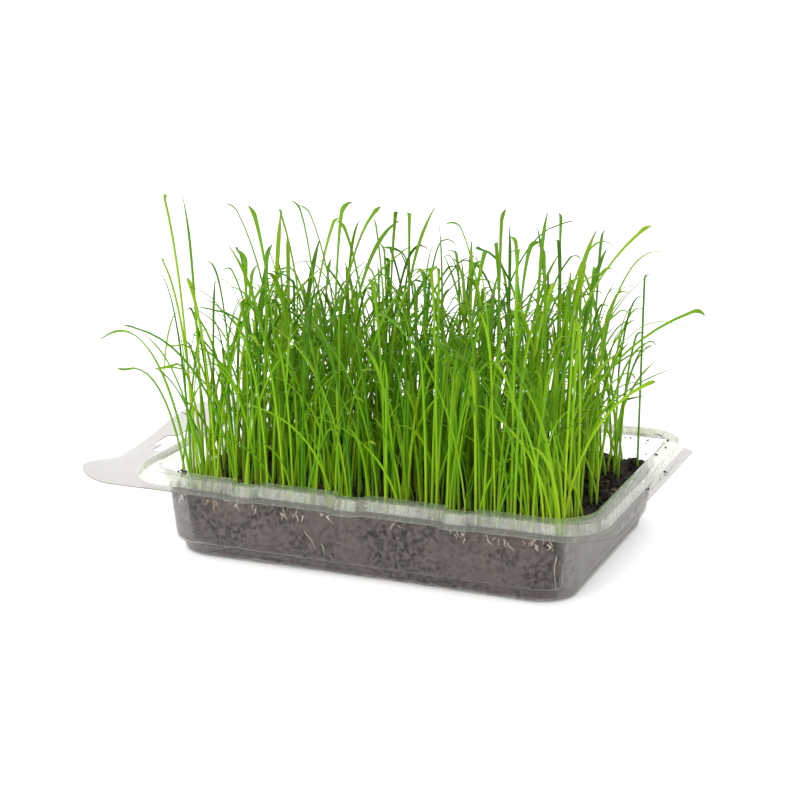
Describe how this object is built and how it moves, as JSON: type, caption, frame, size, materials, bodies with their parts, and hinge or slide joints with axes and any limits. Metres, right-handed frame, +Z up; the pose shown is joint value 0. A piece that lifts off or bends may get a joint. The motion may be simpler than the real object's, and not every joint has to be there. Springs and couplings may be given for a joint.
{
  "type": "wheatgrass tray",
  "caption": "Young wheatgrass growing in potting soil in a clear thermoformed tray with a raised rim and a hanging flange.",
  "frame": {"origin": "middle of the flat underside of the tray's base, on the surface that it stands on", "axes": "+X along the tray away from the hanging flange, +Y to the back, +Z up"},
  "size_m": [0.226, 0.1759, 0.131],
  "materials": {
    "clear_film": "clear, glossy, thin formed film",
    "potting_soil": "matt, damp, crumbly",
    "grass": "satin leaf, finely ribbed"
  },
  "bodies": {
    "root": {"tray": "clear_film", "soil": "potting_soil", "tuft_01": "grass", "tuft_02": "grass", "tuft_03": "grass", "tuft_04": "grass", "tuft_05": "grass", "tuft_06": "grass", "tuft_07": "grass", "tuft_08": "grass", "tuft_09": "grass", "tuft_10": "grass", "tuft_11": "grass", "tuft_12": "grass", "tuft_13": "grass", "tuft_14": "grass", "tuft_15": "grass", "tuft_16": "grass", "tuft_17": "grass", "tuft_18": "grass", "tuft_19": "grass", "tuft_20": "grass", "tuft_21": "grass", "tuft_22": "grass", "tuft_23": "grass", "tuft_24": "grass", "tuft_25": "grass", "tuft_26": "grass", "tuft_27": "grass", "tuft_28": "grass", "tuft_29": "grass", "tuft_30": "grass", "tuft_31": "grass", "tuft_32": "grass", "tuft_33": "grass", "tuft_34": "grass", "tuft_35": "grass", "tuft_36": "grass", "tuft_37": "grass", "tuft_38": "grass", "tuft_39": "grass", "tuft_40": "grass", "tuft_41": "grass", "tuft_42": "grass", "tuft_43": "grass", "tuft_44": "grass", "tuft_45": "grass"}
  },
  "joints": []
}
